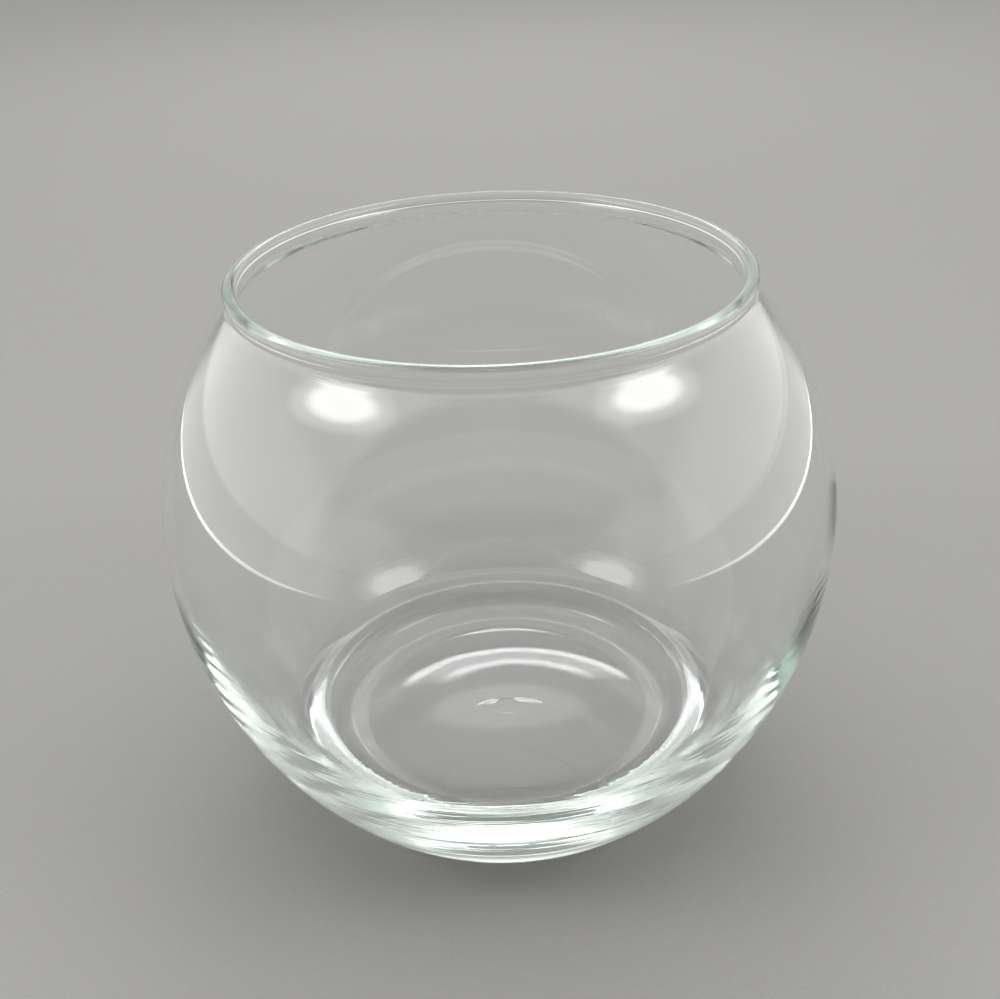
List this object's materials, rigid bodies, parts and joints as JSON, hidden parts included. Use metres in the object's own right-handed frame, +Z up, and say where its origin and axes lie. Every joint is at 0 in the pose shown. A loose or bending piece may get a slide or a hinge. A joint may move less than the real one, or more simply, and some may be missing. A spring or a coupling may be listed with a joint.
{
  "type": "rose bowl vase",
  "caption": "Round clear glass rose bowl vase: a full rounded belly, a wide open mouth with a round fire-polished rim, and a thick base to stand on.",
  "frame": {"origin": "under the middle of the base, at table height", "axes": "+Z up along the axis that the bowl is round about; X and Y may point anywhere, because the bowl is round"},
  "size_m": [0.152, 0.152, 0.128],
  "materials": {
    "clear_glass": "smooth fire-polished soda-lime glass, faintly green where it is thick"
  },
  "bodies": {
    "root": {"glass_bowl": "clear_glass"}
  },
  "joints": []
}
